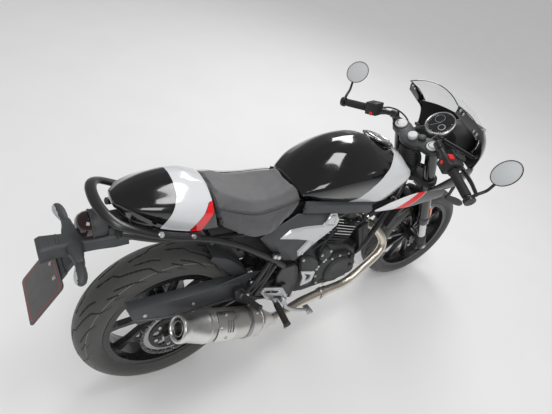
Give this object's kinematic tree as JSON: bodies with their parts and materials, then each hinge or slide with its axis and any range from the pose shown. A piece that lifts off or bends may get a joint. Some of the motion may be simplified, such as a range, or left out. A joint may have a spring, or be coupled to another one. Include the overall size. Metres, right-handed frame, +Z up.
{
  "type": "cafe racer motorcycle",
  "caption": "Half-faired sporting road motorcycle with a round-nosed fairing, humped seat tail, clip-on bars and a side stand; wheels roll and the bars steer.",
  "frame": {"origin": "centre of the bounding box on the ground, machine leaning on its side stand", "axes": "+X forwards, +Y to the rider's left, +Z up"},
  "size_m": [2.0712, 0.9499, 1.1225],
  "materials": {
    "tyre": "matt black rubber",
    "wheel_black": "satin black cast wheel",
    "steel": "brushed steel",
    "frame_black": "satin black paint",
    "engine_black": "satin graphite casting",
    "stainless": "brushed stainless, warm tone",
    "gloss_black": "gloss black paint",
    "alloy": "satin silver alloy",
    "cowl_paint": "gloss black paint with a silver band and a red stripe",
    "seat_vinyl": "matt charcoal vinyl",
    "dark_plastic": "textured dark plastic",
    "silver_plastic": "silver painted plastic",
    "lamp_red": "dark housing with a red lens",
    "black_plastic": "black plastic",
    "lens_clear": "clear lamp glass",
    "rubber": "moulded rubber",
    "fork_black": "black anodised tube",
    "fork_steel": "polished fork leg",
    "mirror_black": "black rim with a mirror glass",
    "blade_paint": "silver-white paint with a red stripe and grey end",
    "screen_clear": "clear screen, dark edge"
  },
  "bodies": {
    "rear_wheel": {"rear_tyre": "tyre", "rear_rim": "wheel_black", "rear_drive_discs": "steel"},
    "front_wheel": {"front_tyre": "tyre", "front_rim": "wheel_black", "front_disc": "steel"},
    "chassis": {"main_frame": "frame_black", "subframe": "frame_black", "swingarm": "frame_black", "rear_shock": "frame_black", "crankcase": "engine_black", "cylinder": "engine_black", "cylinder_head": "engine_black", "engine_covers": "engine_black", "drive_chain": "steel", "exhaust_header": "stainless", "silencer": "stainless", "radiator": "engine_black", "fuel_tank": "gloss_black", "seat_cowl": "cowl_paint", "seat": "seat_vinyl", "airbox": "dark_plastic", "side_panels": "dark_plastic", "silver_accents": "silver_plastic", "grab_rail": "frame_black", "tail_lamp": "lamp_red", "plate_hanger": "black_plastic", "number_plate": "black_plastic", "indicators": "lens_clear", "wheel_guards": "dark_plastic", "heel_plates": "alloy", "foot_pegs": "rubber", "foot_levers": "alloy", "rear_caliper": "engine_black", "fairing": "gloss_black", "fairing_blades": "blade_paint", "windscreen": "screen_clear", "headlamp": "lens_clear", "fairing_stay": "frame_black"},
    "filler_cap_body": {"filler_cap": "alloy"},
    "steering": {"fork_yokes": "fork_black", "fork_tubes": "fork_black", "fork_sliders": "fork_steel", "handlebars": "fork_black", "bar_controls": "black_plastic", "mirrors": "mirror_black", "instrument": "black_plastic", "front_mudguard": "black_plastic", "front_caliper": "engine_black", "brake_hose": "rubber"},
    "side_stand_body": {"side_stand": "frame_black"}
  },
  "joints": [
    {"name": "rear_wheel_spin", "type": "hinge", "parent": "chassis", "child": "rear_wheel", "pos_m": [-0.63257, -0.0819, 0.30435], "axis": [0, 0.9925, -0.1219], "continuous": true},
    {"name": "steering_turn", "type": "hinge", "parent": "chassis", "child": "steering", "pos_m": [0.50744, -0.02895, 0.73595], "axis": [-0.415, 0.1109, 0.903], "range_deg": [-28, 38]},
    {"name": "front_wheel_spin", "type": "hinge", "parent": "steering", "child": "front_wheel", "pos_m": [0.74334, -0.08598, 0.29214], "axis": [0.0787, 0.9932, -0.0858], "continuous": true},
    {"name": "side_stand_fold", "type": "hinge", "parent": "chassis", "child": "side_stand_body", "pos_m": [-0.16456, 0.0494, 0.27427], "axis": [0.2026, 0.8834, 0.4225], "range_deg": [0, 100]},
    {"name": "filler_cap_lid", "type": "hinge", "parent": "chassis", "child": "filler_cap_body", "pos_m": [0.27327, -0.00823, 0.90463], "axis": [0, 0.9925, -0.1219], "range_deg": [0, 95]}
  ]
}
